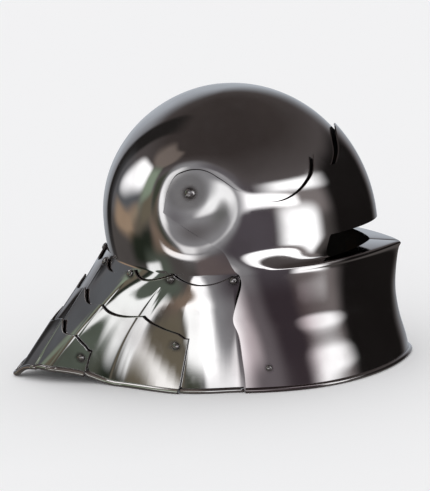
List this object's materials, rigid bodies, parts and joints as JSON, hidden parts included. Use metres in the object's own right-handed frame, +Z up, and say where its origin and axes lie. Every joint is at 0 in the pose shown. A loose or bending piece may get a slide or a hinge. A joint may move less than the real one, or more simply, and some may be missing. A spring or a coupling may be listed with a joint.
{
  "type": "sallet helmet",
  "caption": "Polished steel sallet helmet with a pivoting visor cut by an eye slot, a fluted tail of overlapping lames and domed rivets.",
  "frame": {"origin": "middle of the helmet's box, on the surface that its rims stand on", "axes": "+X towards the wearer's front, +Y towards the wearer's left, +Z up"},
  "size_m": [0.3814, 0.2508, 0.2686],
  "materials": {
    "plate_steel": "mirror-polished steel plate, dark in its recesses",
    "rivet_steel": "hand-finished domed rivets, duller than the plates"
  },
  "bodies": {
    "shell": {"skull": "plate_steel", "tail_lame_upper": "plate_steel", "neck_rivet_left_1": "rivet_steel", "neck_rivet_left_2": "rivet_steel", "neck_rivet_left_3": "rivet_steel", "neck_rivet_left_4": "rivet_steel", "neck_rivet_right_1": "rivet_steel", "neck_rivet_right_2": "rivet_steel", "neck_rivet_right_3": "rivet_steel", "neck_rivet_right_4": "rivet_steel", "middle_lame_rivet_left": "rivet_steel", "middle_lame_rivet_right": "rivet_steel", "visor_pivot_left": "rivet_steel", "visor_pivot_right": "rivet_steel"},
    "visor": {"visor": "plate_steel", "visor_rivet_left": "rivet_steel", "visor_rivet_right": "rivet_steel"},
    "middle_lame": {"tail_lame_middle": "plate_steel", "lower_lame_rivet_left": "rivet_steel", "lower_lame_rivet_right": "rivet_steel"},
    "lower_lame": {"tail_lame_lower": "plate_steel"}
  },
  "joints": [
    {"name": "visor_hinge", "type": "hinge", "parent": "shell", "child": "visor", "pos_m": [-0.0113, 0, 0.19], "axis": [0, -1, 0], "range_deg": [0, 65]},
    {"name": "middle_lame_hinge", "type": "hinge", "parent": "shell", "child": "middle_lame", "pos_m": [-0.03385, 0, 0.04477], "axis": [0, 1, 0], "range_deg": [0, 3]},
    {"name": "lower_lame_hinge", "type": "hinge", "parent": "middle_lame", "child": "lower_lame", "pos_m": [-0.12436, 0, 0.02538], "axis": [0, 1, 0], "range_deg": [0, 3]}
  ]
}
